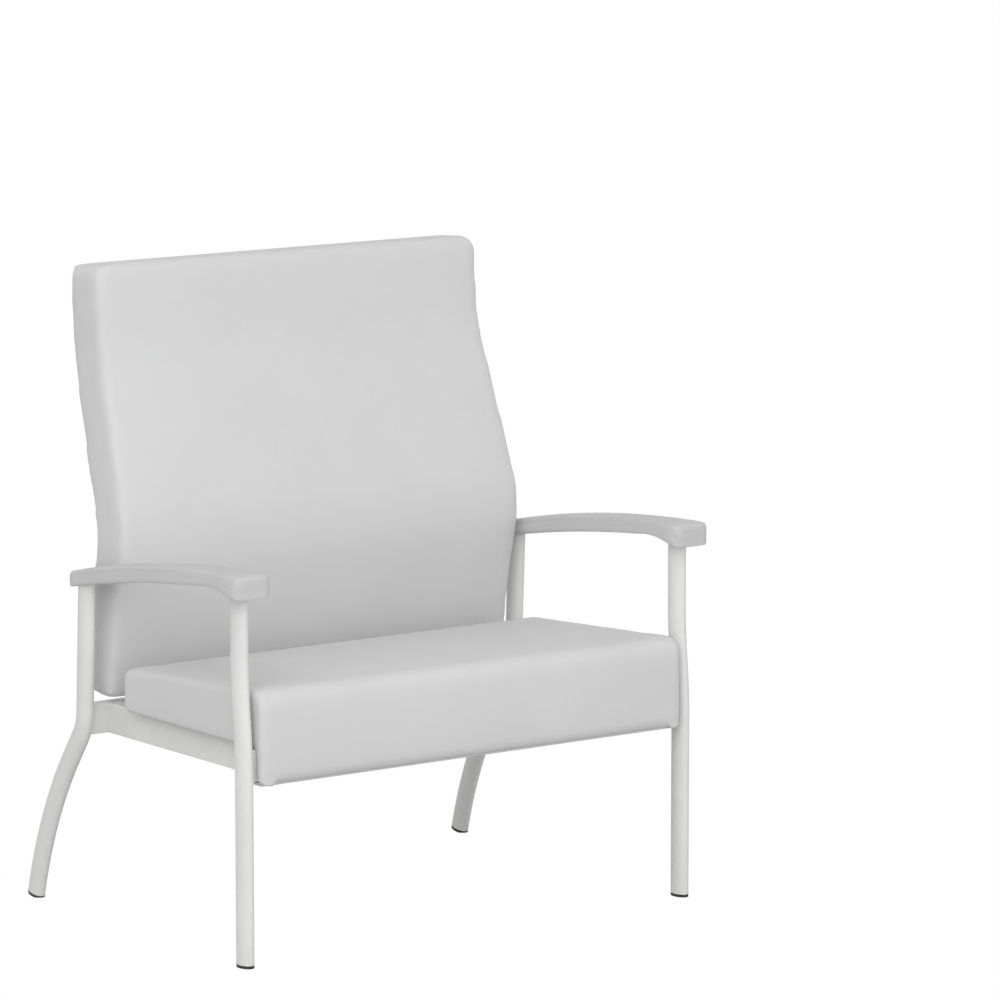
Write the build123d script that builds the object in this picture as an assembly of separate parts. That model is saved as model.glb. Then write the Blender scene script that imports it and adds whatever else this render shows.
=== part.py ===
from build123d import *
import os
from math import atan, cos, degrees, radians, sin

# Wide patient chair: a welded oval-tube frame with moulded arm caps, an upholstered seat that is
# bolted on four tabs, and a curved upholstered back held by two uprights inside it.
# Millimetres. +X to the sitter's left, +Y rearward (the sitter faces -Y), +Z up.
# Everything is drawn with Y measured from the front feet, and moved to the box centre at the end.

os.makedirs("parts", exist_ok=True)

# --- Driving dimensions ------------------------------------------------------------------------
SEAT_WIDTH = 866.0            # over the seat's upholstery
SEAT_DEPTH = 426.0            # front face to rear face of the seat
SEAT_HEIGHT = 460.0           # top of the seat above the floor, over the front feet
SEAT_THICKNESS = 98.5         # underside to top, over the front feet
BACK_HEIGHT = 1107.0          # top front edge of the back above the floor
BACK_THICKNESS = 96.0
ARM_HEIGHT = 656.0            # highest part of the arm caps above the floor

# Oval leg tube, its long axis fore and aft
LEG_LONG = 38.5
LEG_SHORT = 25.0
LEG_WALL = 2.0
LEG_SEAT_GAP = 4.5            # between the seat's side and the leg

# Front leg: upright, with a slight step rearward between seat rail and arm
FRONT_STEP = 11.5
FRONT_STEP_LOW = 51.5         # step begins this far below the top of the rails
FRONT_STEP_RISE = 210.0

# Rear leg: a near-upright top, a bend under the seat rail, and a long sabre curve to the floor
REAR_TOP_LEAN = 2.7
REAR_KNEE_LEAN = 36.0
REAR_FOOT_LEAN = 14.0
REAR_KNEE_RADIUS = 80.0
REAR_KNEE_DROP = 13.5         # bend begins this far below the top of the rails
REAR_KNEE_OFFSET = 5.1        # leg centre behind the front face of the rear cross rail
REAR_SHIN_RUN = 48.0

# Glides under the legs
GLIDE_HEIGHT = 5.0
GLIDE_PLUG = 24.0
GLIDE_GAP = 0.9               # lets the straight plug into the curved foot of the rear leg
GLIDE_WEAR = 2.0              # how far the floor's plane cuts the tilted rear glide
GLIDE_SEATING = 0.005         # between the tube's end and the sole

# Rectangular rail tube
RAIL_HEIGHT = 52.0
RAIL_THICKNESS = 25.0
RAIL_WALL = 2.0
RAIL_CORNER = 3.0
RAIL_INSET = 25.0             # side rail's outer face inside the seat's side
FRONT_RAIL_FACE = -6.0        # Y of the front cross rail's front face
REAR_RAIL_SETBACK = 84.0      # rear cross rail's front face behind the seat

# Seat
SEAT_SLOPE = 3.36
SEAT_FRONT_RADIUS = 30.0
SEAT_REAR_RADIUS = 15.0
SEAT_SIDE_RADIUS = 11.0
APRON_DROP = 61.0             # how far the front face reaches below the seat's underside
APRON_RADIUS = 20.0
SEAT_BOARD = 15.0
FRONT_BOARD = 12.0
SEAT_EDGE_FOAM = 6.0
FRONT_EDGE_FOAM = 8.0
FRONT_BOARD_LIFT = 3.0        # front board's lower edge above the inside of the cover
COVER = 2.0                   # vinyl with its backing
DUST_COVER = 1.0

# Seat tabs, bolts and T-nuts
TAB_LENGTH = 44.0
TAB_WIDTH = 40.0
TAB_THICKNESS = 4.0
TAB_SETBACK = 75.0            # tab centre from the ends of the seat board
BOLT_RADIUS = 4.0
BOLT_GAP = 0.3
BOLT_HEAD_RADIUS = 8.0
BOLT_HEAD = 5.5
BOLT_SHORT = 3.0              # bolt's tip below the T-nut's face
THREAD_GAP = 0.05
NUT_FLANGE_RADIUS = 10.0
NUT_FLANGE = 1.5
NUT_BARREL_RADIUS = 6.0
NUT_BARREL = 8.0

# Back: its front face is a chain of arcs and straights from the bottom edge to the top edge
BACK_GAP = 6.5                # between the rear cross rail and the back
BACK_INSET_LOW = 14.0         # back's side inside the seat's side, below the arms
BACK_INSET_HIGH = 36.0        # the same, at the head
BACK_TAPER_LOW = 244.0        # taper begins this far above the back's bottom edge
BACK_TAPER_RISE = 358.0
BACK_CORNER = 26.0
BACK_FOOT_LEAN = -5.0
BACK_FOOT_RADIUS = 1146.0
BACK_FOOT_TURN = 10.5
LUMBAR_RADIUS = 240.0
LUMBAR_TURN = 34.0
BACK_STRAIGHT_SHARE = 0.655   # straight's share of the height that the arcs leave above the lumbar
HEAD_RADIUS = 348.0
HEAD_TURN = 13.5

# Inside the back
BACK_BOARD = 10.0
BACK_BOARD_INSET = 12.0
UPRIGHT_DEPTH = 44.0          # upright's front face behind the back's front face
UPRIGHT_THICKNESS = 20.0
UPRIGHT_WIDTH = 40.0
UPRIGHT_WALL = 2.0
UPRIGHT_SPACING = 500.0
UPRIGHT_TOP_SETBACK = 40.0
CROSS_BAR = 30.0
CROSS_BAR_LOW = 0.32          # cross bars' centres along the back's straight stretch, as shares
CROSS_BAR_HIGH = 0.86
BACK_BOLT_SETBACK = 25.0
POCKET_GAP = 1.0              # foam cut back around bolt heads

# Arms
ARM_REACH = 33.0              # nose ahead of the front leg's foot
ARM_TAIL = 23.0               # tail behind the rear leg's bend
ARM_NOSE_WIDTH = 74.0
ARM_TAIL_WIDTH = 34.0
ARM_NOSE_RADIUS = 15.0
ARM_TAIL_RADIUS = 8.0
ARM_EDGE_RADIUS = 4.0
ARM_TAIL_DROP = 66.0          # top of the tail below the highest part
ARM_MIDDLE_SHARE = 0.27       # share of that drop that is reached half-way along
ARM_TAIL_DEPTH = 27.5         # top to underside at the tail, and so on towards the nose
ARM_BODY_DEPTH = 31.0
ARM_NECK_DEPTH = 32.5
ARM_ARCH_DEPTH = 29.0
ARM_THROAT_DEPTH = 32.5
ARM_NOSE_DEPTH = 41.5
ARM_NECK = 90.0               # Y of the neck, the arch and the throat of the underside
ARM_ARCH = 50.0
ARM_THROAT = 10.0
PLATE_THICKNESS = 5.0
PLATE_FRONT = 14.0            # plate's front end ahead of the front leg's foot
PLATE_TAIL = 8.0              # and its rear end inside the cap's tail
ARM_SCREW_RADIUS = 3.0
ARM_SCREW_HEAD_RADIUS = 5.5
ARM_SCREW_HEAD = 2.8
ARM_SCREW_SINK = 0.4          # head's face below the plate's underside
ARM_SCREW_REACH = 14.0
ARM_SCREW_GAP = 0.3
ARM_SCREW_SHARES = (0.2, 0.5, 0.8)  # places along the underside, from the tail to the neck
INSERT_RADIUS = 5.0
INSERT_LENGTH = 10.0

# --- Places that follow from them --------------------------------------------------------------
seat_half = SEAT_WIDTH / 2
leg_x = seat_half + LEG_SEAT_GAP + LEG_SHORT / 2
seat_front = FRONT_RAIL_FACE - COVER - FRONT_EDGE_FOAM - FRONT_BOARD
seat_rear = seat_front + SEAT_DEPTH
rail_top = SEAT_HEIGHT - SEAT_THICKNESS
rail_mid = rail_top - RAIL_HEIGHT / 2
apron_bottom = rail_top - APRON_DROP
front_rail_back = FRONT_RAIL_FACE + RAIL_THICKNESS
rear_rail_face = seat_rear + REAR_RAIL_SETBACK
rear_rail_back = rear_rail_face + RAIL_THICKNESS
side_rail_inner = seat_half - RAIL_INSET - RAIL_THICKNESS
knee = (rear_rail_face + REAR_KNEE_OFFSET, rail_top - REAR_KNEE_DROP)
board_bottom = rail_top + DUST_COVER
back_bottom = rail_top + BACK_GAP
sides = {"left": 1, "right": -1}
parts = {}


def lean(angle):
    """Upward direction in the (Y, Z) side view, leaning rearward by the angle."""
    return Vector(sin(radians(angle)), cos(radians(angle)))


def slab(edges, half_width, centre=0.0):
    """Closed (Y, Z) outline, made a solid that wide to each side of a plane of constant X."""
    return Pos(centre, 0, 0) * extrude(Plane.YZ * Face(Wire(edges)), half_width, both=True)


def bar(plane, radius, low, high):
    """Round bar on a plane's axis, between two heights above it."""
    return extrude(plane.offset(low) * Circle(radius), high - low)


def tube_along_x(half_length, thickness, height, wall, corner):
    """Rectangular tube along X about the origin."""
    section = RectangleRounded(thickness, height, corner)
    section -= RectangleRounded(thickness - 2 * wall, height - 2 * wall, corner - wall / 2)
    return extrude(Plane.YZ * section, half_length, both=True)


# --- Oval legs ---------------------------------------------------------------------------------
# Front leg, from the glide up: two equal arcs make the rearward step
step_turn = 2 * degrees(atan(FRONT_STEP / FRONT_STEP_RISE))
step_radius = FRONT_STEP_RISE / (2 * sin(radians(step_turn)))
front_shin = Line((0, GLIDE_HEIGHT), (0, rail_top - FRONT_STEP_LOW))
step_out = JernArc(front_shin @ 1, lean(0), step_radius, -step_turn)
step_back = JernArc(step_out @ 1, step_out % 1, step_radius, step_turn)
front_path = [front_shin, step_out, step_back, Line(step_back @ 1, ((step_back @ 1).X, ARM_HEIGHT))]

# Rear leg, from the arm down; its foot stands where the floor's plane just cuts the tilted glide
knee_bend = JernArc(knee, lean(-REAR_TOP_LEAN) * -1, REAR_KNEE_RADIUS, REAR_KNEE_LEAN - REAR_TOP_LEAN)
shin = Line(knee_bend @ 1, knee_bend @ 1 + (knee_bend % 1) * REAR_SHIN_RUN)
foot_tilt = radians(REAR_FOOT_LEAN)
foot_z = GLIDE_HEIGHT * cos(foot_tilt) + LEG_LONG / 2 * sin(foot_tilt) - GLIDE_WEAR
sabre_radius = ((shin @ 1).Y - foot_z) / (sin(radians(REAR_KNEE_LEAN)) - sin(foot_tilt))
sabre = JernArc(shin @ 1, shin % 1, sabre_radius, REAR_FOOT_LEAN - REAR_KNEE_LEAN)
rear_top = (knee[0] - (ARM_HEIGHT - knee[1]) * sin(radians(REAR_TOP_LEAN)), ARM_HEIGHT)
rear_path = [Line(rear_top, knee), knee_bend, shin, sabre]


def oval_bar(path, x, inset=0.0):
    """Bar of the leg's oval section, smaller all round by the inset, along a side-view path."""
    wire = Pos(x, 0, 0) * (Plane.YZ * Wire(path))
    across = Plane(origin=wire @ 0, x_dir=(1, 0, 0), z_dir=wire % 0)
    return sweep(across * Ellipse(LEG_SHORT / 2 - inset, LEG_LONG / 2 - inset), path=wire)


def oval_glide(foot, x):
    """Moulded glide: a sole under the tube's end and a plug inside it, cut flat by the floor."""
    under = foot.offset(GLIDE_SEATING)
    sole = extrude(under * Ellipse(LEG_SHORT / 2, LEG_LONG / 2), GLIDE_HEIGHT - GLIDE_SEATING)
    bore = LEG_WALL + GLIDE_GAP
    plug = extrude(under * Ellipse(LEG_SHORT / 2 - bore, LEG_LONG / 2 - bore), -GLIDE_PLUG)
    below_floor = Pos(0, 0, -LEG_LONG) * Box(2 * leg_x + LEG_LONG, 4 * ARM_HEIGHT, 2 * LEG_LONG)
    return sole + plug - below_floor


# --- Arm side view: one long arc over the top; the underside follows it and dips at the nose ----
arm_tail = knee[0] + ARM_TAIL
arm_tail_top = ARM_HEIGHT - ARM_TAIL_DROP
arm_middle = (arm_tail - ARM_REACH) / 2
arm_middle_top = ARM_HEIGHT - ARM_MIDDLE_SHARE * ARM_TAIL_DROP
neck = (ARM_NECK, ARM_HEIGHT - ARM_NECK_DEPTH)
throat = (ARM_THROAT, ARM_HEIGHT - ARM_THROAT_DEPTH)
arm_top = ThreePointArc((arm_tail, arm_tail_top), (arm_middle, arm_middle_top), (-ARM_REACH, ARM_HEIGHT))
arm_body = ThreePointArc(
    (arm_tail, arm_tail_top - ARM_TAIL_DEPTH), (arm_middle, arm_middle_top - ARM_BODY_DEPTH), neck
)
arm_arch = ThreePointArc(neck, (ARM_ARCH, ARM_HEIGHT - ARM_ARCH_DEPTH), throat)
arm_chin = Line(throat, (-ARM_REACH, ARM_HEIGHT - ARM_NOSE_DEPTH))
arm_under = [arm_body, arm_arch, arm_chin]


def above_underside(rise, reach, x):
    """Everything from the arm's underside up to the rise above it, that wide about one arm."""
    raised = [Pos(0, rise, 0) * edge for edge in arm_under]
    ends = [Line(arm_body @ 0, raised[0] @ 0), Line(arm_chin @ 1, raised[-1] @ 1)]
    return slab(arm_under + raised + ends, reach, x)


legs = {}
for side, sign in sides.items():
    x = sign * leg_x
    over_arm = above_underside(ARM_HEIGHT, LEG_SHORT, x)
    for end, path in (("front", front_path), ("rear", rear_path)):
        outer = oval_bar(path, x)
        legs[end, side] = outer
        parts[f"{end}_leg_{side}"] = outer - oval_bar(path, x, LEG_WALL) - over_arm
    front_foot = Plane(origin=(x, 0, GLIDE_HEIGHT), x_dir=(1, 0, 0), z_dir=(0, 0, -1))
    ankle = sabre @ 1
    toe_down = sabre % 1
    rear_foot = Plane(origin=(x, ankle.X, ankle.Y), x_dir=(1, 0, 0), z_dir=(0, toe_down.X, toe_down.Y))
    parts[f"front_glide_{side}"] = oval_glide(front_foot, x)
    parts[f"rear_glide_{side}"] = oval_glide(rear_foot, x)

# --- Seat rails: cross rails coped to the legs, side and centre rails butted between them --------
cross_rail = tube_along_x(leg_x, RAIL_THICKNESS, RAIL_HEIGHT, RAIL_WALL, RAIL_CORNER)
for end, face in (("front", FRONT_RAIL_FACE), ("rear", rear_rail_face)):
    rail = Pos(0, face + RAIL_THICKNESS / 2, rail_mid) * cross_rail
    parts[f"{end}_cross_rail"] = rail - legs[end, "left"] - legs[end, "right"]

rail_half_run = (rear_rail_face - front_rail_back) / 2
fore_aft_rail = Rot(0, 0, 90) * tube_along_x(
    rail_half_run, RAIL_THICKNESS, RAIL_HEIGHT, RAIL_WALL, RAIL_CORNER
)
rail_centre_y = front_rail_back + rail_half_run
parts["centre_rail"] = Pos(0, rail_centre_y, rail_mid) * fore_aft_rail
for side, sign in sides.items():
    x = sign * (side_rail_inner + RAIL_THICKNESS / 2)
    parts[f"side_rail_{side}"] = Pos(x, rail_centre_y, rail_mid) * fore_aft_rail


# --- Bolts and T-nuts, seen from the plane that the bolt's head bears on -------------------------
def bolt(plane, grip):
    """Flanged bolt that stops short of the T-nut's face."""
    head = bar(plane, BOLT_HEAD_RADIUS, -BOLT_HEAD, 0)
    return head + bar(plane, BOLT_RADIUS, 0, grip - BOLT_SHORT)


def nut_seat(plane, grip):
    """Recess in the board for the T-nut."""
    flange_low = grip - NUT_FLANGE
    flange = bar(plane, NUT_FLANGE_RADIUS, flange_low, grip)
    return flange + bar(plane, NUT_BARREL_RADIUS, flange_low - NUT_BARREL, flange_low)


def t_nut(plane, grip):
    return nut_seat(plane, grip) - bar(plane, BOLT_RADIUS + THREAD_GAP, 0, grip)


def bolt_hole(plane, grip):
    return bar(plane, BOLT_RADIUS + BOLT_GAP, 0, grip)


# --- Seat --------------------------------------------------------------------------------------
def seat_top(y):
    return SEAT_HEIGHT - y * sin(radians(SEAT_SLOPE)) / cos(radians(SEAT_SLOPE))


def seat_block(inset):
    """Upholstered seat with its front apron, smaller on its show faces by the inset."""
    front = seat_front + inset
    rear = seat_rear - inset
    bottom = apron_bottom + inset
    outline = Polygon(
        (FRONT_RAIL_FACE, bottom),
        (front, bottom),
        (front, seat_top(front) - inset),
        (rear, seat_top(rear) - inset),
        (rear, rail_top),
        (FRONT_RAIL_FACE, rail_top),
        align=None,
    )
    corners = (
        ((front, bottom), APRON_RADIUS),
        ((front, seat_top(front) - inset), SEAT_FRONT_RADIUS),
        ((rear, seat_top(rear) - inset), SEAT_REAR_RADIUS),
    )
    for corner, radius in corners:
        outline = fillet(outline.vertices().sort_by_distance(corner)[0], radius - inset)
    half = seat_half - inset
    block = extrude(Plane.YZ * outline, half, both=True)
    edges = [e for e in block.edges() if abs(abs(e.center().X) - half) < COVER / 2]
    show = [e for e in edges if e.center().Y < FRONT_RAIL_FACE or e.center().Z > rail_top + COVER]
    return fillet([e for e in show if e.center().Z > bottom + COVER], SEAT_SIDE_RADIUS - inset)


seat_inside = seat_block(COVER)
board_front = seat_front + COVER + FRONT_EDGE_FOAM
board_rear = seat_rear - COVER - SEAT_EDGE_FOAM
board_half = seat_half - COVER - SEAT_EDGE_FOAM
seat_board = Pos(0, (board_front + board_rear) / 2, board_bottom + SEAT_BOARD / 2) * Box(
    2 * board_half, board_rear - board_front, SEAT_BOARD
)
front_board_bottom = apron_bottom + COVER + FRONT_BOARD_LIFT
front_board = Pos(0, FRONT_RAIL_FACE - FRONT_BOARD / 2, (front_board_bottom + board_bottom) / 2) * Box(
    2 * board_half, FRONT_BOARD, board_bottom - front_board_bottom
)
dust_depth = seat_rear - COVER - FRONT_RAIL_FACE
dust_cover = seat_inside & Pos(0, FRONT_RAIL_FACE + dust_depth / 2, rail_top + DUST_COVER / 2) * Box(
    2 * (seat_half - COVER), dust_depth, DUST_COVER
)
parts["seat_cover"] = seat_block(0) - seat_inside
parts["seat_foam"] = seat_inside - seat_board - front_board - dust_cover
parts["seat_front_board"] = front_board

seat_grip = TAB_THICKNESS + DUST_COVER + SEAT_BOARD
seat_bolts = []
seat_nuts = []
for end, y in (("front", board_front + TAB_SETBACK), ("rear", board_rear - TAB_SETBACK)):
    for side, sign in sides.items():
        x = sign * (side_rail_inner - TAB_LENGTH / 2)
        seat_plane = Plane(origin=(x, y, rail_top - TAB_THICKNESS))
        tab = Pos(x, y, rail_top - TAB_THICKNESS / 2) * Box(TAB_LENGTH, TAB_WIDTH, TAB_THICKNESS)
        hole = bolt_hole(seat_plane, seat_grip)
        parts[f"seat_tab_{end}_{side}"] = tab - hole
        dust_cover -= hole
        seat_board -= hole + nut_seat(seat_plane, seat_grip)
        seat_bolts.append(bolt(seat_plane, seat_grip))
        seat_nuts.append(t_nut(seat_plane, seat_grip))
parts["seat_board"] = seat_board
parts["seat_dust_cover"] = dust_cover
parts["seat_bolts"] = Compound(seat_bolts)
parts["seat_t_nuts"] = Compound(seat_nuts)

# --- Back --------------------------------------------------------------------------------------
# Bottom edge of the back's front face: it puts the uprights on the rear face of the rear rail
foot_lean = radians(BACK_FOOT_LEAN)
back_foot = Vector(rear_rail_back - UPRIGHT_DEPTH * cos(foot_lean), back_bottom)


def rearward(angle):
    """Unit vector square to a lean, pointing to the rear."""
    return Vector(cos(radians(angle)), -sin(radians(angle)))


def arc_rise(radius, low_lean, high_lean):
    """Height that an arc climbs between two leans."""
    return radius * abs(sin(radians(high_lean)) - sin(radians(low_lean)))


straight_lean = BACK_FOOT_LEAN - BACK_FOOT_TURN + LUMBAR_TURN
head_lean = straight_lean - HEAD_TURN
arcs_rise = (
    arc_rise(BACK_FOOT_RADIUS, BACK_FOOT_LEAN, BACK_FOOT_LEAN - BACK_FOOT_TURN)
    + arc_rise(LUMBAR_RADIUS, BACK_FOOT_LEAN - BACK_FOOT_TURN, straight_lean)
    + arc_rise(HEAD_RADIUS, straight_lean, head_lean)
)
free_rise = BACK_HEIGHT - back_bottom - arcs_rise
back_straight = free_rise * BACK_STRAIGHT_SHARE / cos(radians(straight_lean))


def back_curve(depth, low_trim=0.0, high_trim=0.0):
    """Edges of the back at a depth behind its front face, from the bottom edge to the top edge."""
    trim_turn = degrees(low_trim / BACK_FOOT_RADIUS)
    start_lean = BACK_FOOT_LEAN - trim_turn
    centre = back_foot - rearward(BACK_FOOT_LEAN) * BACK_FOOT_RADIUS
    start = centre + rearward(start_lean) * (BACK_FOOT_RADIUS + depth)
    foot = JernArc(start, lean(start_lean), BACK_FOOT_RADIUS + depth, BACK_FOOT_TURN - trim_turn)
    lumbar = JernArc(foot @ 1, foot % 1, LUMBAR_RADIUS - depth, -LUMBAR_TURN)
    straight = Line(lumbar @ 1, lumbar @ 1 + (lumbar % 1) * back_straight)
    head = JernArc(straight @ 1, straight % 1, HEAD_RADIUS + depth, HEAD_TURN)
    front_head_z = (head @ 1).Y + depth * sin(radians(head_lean))
    run = (BACK_HEIGHT - front_head_z) / cos(radians(head_lean)) - high_trim
    return [foot, lumbar, straight, head, Line(head @ 1, head @ 1 + (head % 1) * run)]


def back_outline(inset):
    """Front view of the back, narrower towards the head, with rounded top corners."""
    low = seat_half - BACK_INSET_LOW - inset
    high = seat_half - BACK_INSET_HIGH - inset
    taper = back_bottom + BACK_TAPER_LOW
    top = BACK_HEIGHT - inset
    right = [(low, 0), (low, taper), (high, taper + BACK_TAPER_RISE), (high, top)]
    left = [(-x, z) for x, z in reversed(right)]
    outline = Polygon(*right, *left, align=None)
    for x in (high, -high):
        corner = outline.vertices().sort_by_distance((x, top))[0]
        outline = fillet(corner, BACK_CORNER - inset)
    return extrude(Plane.XZ * outline, 2 * BACK_HEIGHT, both=True)


def back_layer(near, far, inset):
    """Layer of the back between two depths, smaller at its four sides by the inset."""
    front = back_curve(near, inset, inset)
    rear = back_curve(far, inset, inset)
    ends = [Line(front[0] @ 0, rear[0] @ 0), Line(front[-1] @ 1, rear[-1] @ 1)]
    return slab(front + rear + ends, seat_half) & back_outline(inset)


def upright(wall):
    """Upright's outline, thinner all round by the wall, from the rear rail to below the head."""
    near = back_curve(UPRIGHT_DEPTH + wall, 0, UPRIGHT_TOP_SETBACK)
    far = back_curve(UPRIGHT_DEPTH + UPRIGHT_THICKNESS - wall, 0, UPRIGHT_TOP_SETBACK)
    low_z = rail_top - RAIL_HEIGHT + RAIL_CORNER
    near_low = Line(((near[0] @ 0).X, low_z), near[0] @ 0)
    far_low = Line(((far[0] @ 0).X, low_z), far[0] @ 0)
    ends = [Line(near_low @ 0, far_low @ 0), Line(near[-1] @ 1, far[-1] @ 1)]
    return slab(near + far + ends + [near_low, far_low], UPRIGHT_WIDTH / 2 - wall)


def on_straight(depth, share, x=0.0):
    """Place on the back's straight stretch, its axis pointing to the front."""
    place = back_curve(depth)[2] @ share
    front_normal = rearward(straight_lean) * -1
    return Plane(
        origin=(x, place.X, place.Y), x_dir=(1, 0, 0), z_dir=(0, front_normal.X, front_normal.Y)
    )


upright_bar = upright(0)
upright_tube = upright_bar - upright(UPRIGHT_WALL)
upright_blanks = [Pos(sign * UPRIGHT_SPACING / 2, 0, 0) * upright_bar for sign in sides.values()]

bar_half = (UPRIGHT_SPACING - UPRIGHT_WIDTH) / 2
bar_depth = UPRIGHT_DEPTH + UPRIGHT_THICKNESS / 2
bar_blanks = []
for name, share in (("lower_back_bar", CROSS_BAR_LOW), ("upper_back_bar", CROSS_BAR_HIGH)):
    place = on_straight(bar_depth, share).origin
    at_bar = Pos(*place) * Rot(-straight_lean, 0, 0)
    bar_blanks.append(at_bar * Box(2 * bar_half, UPRIGHT_THICKNESS, CROSS_BAR))
    parts[name] = at_bar * tube_along_x(
        bar_half, UPRIGHT_THICKNESS, CROSS_BAR, UPRIGHT_WALL, UPRIGHT_WALL
    )

board_inset = COVER + BACK_BOARD_INSET
back_board = back_layer(UPRIGHT_DEPTH - BACK_BOARD, UPRIGHT_DEPTH, board_inset)
front_foam = back_layer(COVER, UPRIGHT_DEPTH, COVER) - back_board
rear_foam = back_layer(UPRIGHT_DEPTH, BACK_THICKNESS - COVER, COVER)
back_shell = back_layer(0, BACK_THICKNESS, 0) - back_layer(COVER, BACK_THICKNESS - COVER, COVER)
for blank in upright_blanks + bar_blanks:
    rear_foam -= blank
for blank in upright_blanks:
    back_shell -= blank

back_grip = UPRIGHT_THICKNESS + BACK_BOARD
back_bolts = []
back_nuts = []
for side, sign in sides.items():
    x = sign * UPRIGHT_SPACING / 2
    tube = Pos(x, 0, 0) * upright_tube
    for share in (BACK_BOLT_SETBACK / back_straight, 1 - BACK_BOLT_SETBACK / back_straight):
        back_plane = on_straight(UPRIGHT_DEPTH + UPRIGHT_THICKNESS, share, x)
        hole = bolt_hole(back_plane, back_grip)
        tube -= hole
        back_board -= hole + nut_seat(back_plane, back_grip)
        rear_foam -= bar(back_plane, BOLT_HEAD_RADIUS + POCKET_GAP, -BOLT_HEAD - POCKET_GAP, 0)
        back_bolts.append(bolt(back_plane, back_grip))
        back_nuts.append(t_nut(back_plane, back_grip))
    parts[f"back_upright_{side}"] = tube
parts["back_board"] = back_board
parts["back_front_foam"] = front_foam
parts["back_rear_foam"] = rear_foam
parts["back_cover"] = back_shell
parts["back_bolts"] = Compound(back_bolts)
parts["back_t_nuts"] = Compound(back_nuts)

# --- Arm caps on steel plates --------------------------------------------------------------------
nose_half = ARM_NOSE_WIDTH / 2
tail_half = ARM_TAIL_WIDTH / 2
flare = (nose_half - tail_half) / 4
flank = Spline(
    (tail_half, arm_tail),
    (tail_half + flare, arm_middle + ARM_NECK),
    (tail_half + 2 * flare, arm_middle - ARM_ARCH),
    (tail_half + 3 * flare, ARM_ARCH),
    (nose_half, ARM_THROAT - ARM_NOSE_RADIUS),
)
nose_side = Line(flank @ 1, (nose_half, -ARM_REACH))
one_side = [flank, nose_side]
other_side = [mirror(edge, Plane.YZ).edge() for edge in one_side]
arm_ends = [Line(flank @ 0, other_side[0] @ 0), Line(nose_side @ 1, other_side[1] @ 1)]
arm_plan = Face(Wire(one_side + other_side + arm_ends))
for x in (nose_half, -nose_half):
    arm_plan = fillet(arm_plan.vertices().sort_by_distance((x, -ARM_REACH))[0], ARM_NOSE_RADIUS)
for x in (tail_half, -tail_half):
    arm_plan = fillet(arm_plan.vertices().sort_by_distance((x, arm_tail))[0], ARM_TAIL_RADIUS)

arm_side = [arm_top, *arm_under, Line(arm_top @ 0, arm_body @ 0), Line(arm_top @ 1, arm_chin @ 1)]
cap_blank = slab(arm_side, ARM_NOSE_WIDTH) & extrude(arm_plan, 2 * ARM_HEIGHT, both=True)
cap_blank = fillet(cap_blank.faces().sort_by(Axis.Z)[-1].edges(), ARM_EDGE_RADIUS)

plate_front = -PLATE_FRONT
plate_length = arm_tail - PLATE_TAIL - plate_front
plate_blank = above_underside(PLATE_THICKNESS, LEG_SHORT / 2, 0) & (
    Pos(0, plate_front + plate_length / 2, ARM_HEIGHT) * Box(LEG_SHORT, plate_length, 2 * ARM_HEIGHT)
)
screw_planes = []
for share in ARM_SCREW_SHARES:
    place = arm_body @ share
    along = arm_body % share
    up = Vector(along.Y, -along.X)
    screw_planes.append(Plane(origin=(0, place.X, place.Y), x_dir=(1, 0, 0), z_dir=(0, up.X, up.Y)))

cap_blank -= plate_blank
plate = plate_blank
insert_top = PLATE_THICKNESS + INSERT_LENGTH
arm_screws = []
arm_inserts = []
for plane in screw_planes:
    head = bar(plane, ARM_SCREW_HEAD_RADIUS, ARM_SCREW_SINK, ARM_SCREW_SINK + ARM_SCREW_HEAD)
    shank = bar(plane, ARM_SCREW_RADIUS, ARM_SCREW_SINK, ARM_SCREW_REACH)
    plate -= bar(plane, ARM_SCREW_HEAD_RADIUS, -PLATE_THICKNESS, ARM_SCREW_SINK + ARM_SCREW_HEAD)
    plate -= bar(plane, ARM_SCREW_RADIUS + ARM_SCREW_GAP, 0, insert_top)
    insert = bar(plane, INSERT_RADIUS, 0, insert_top) - plate_blank
    cap_blank -= insert
    arm_inserts.append(insert - bar(plane, ARM_SCREW_RADIUS + THREAD_GAP, 0, insert_top))
    arm_screws.append(head + shank)
for side, sign in sides.items():
    parts[f"arm_cap_{side}"] = Pos(sign * leg_x, 0, 0) * cap_blank
    parts[f"arm_plate_{side}"] = Pos(sign * leg_x, 0, 0) * plate
for name, pieces in (("arm_screws", arm_screws), ("arm_inserts", arm_inserts)):
    parts[name] = Compound([Pos(sign * leg_x, 0, 0) * p for p in pieces for sign in sides.values()])

# --- Export about the centre of the whole chair's box -------------------------------------------
whole = Compound([solid for part in parts.values() for solid in part.solids()]).bounding_box()
to_origin = Pos(0, -(whole.min.Y + whole.max.Y) / 2, 0)
for name, part in parts.items():
    export_step(to_origin * part, f"parts/{name}.step")
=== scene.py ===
from math import cos, pi, radians, sin

import bmesh
import bpy
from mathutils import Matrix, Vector
from mathutils.bvhtree import BVHTree


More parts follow.
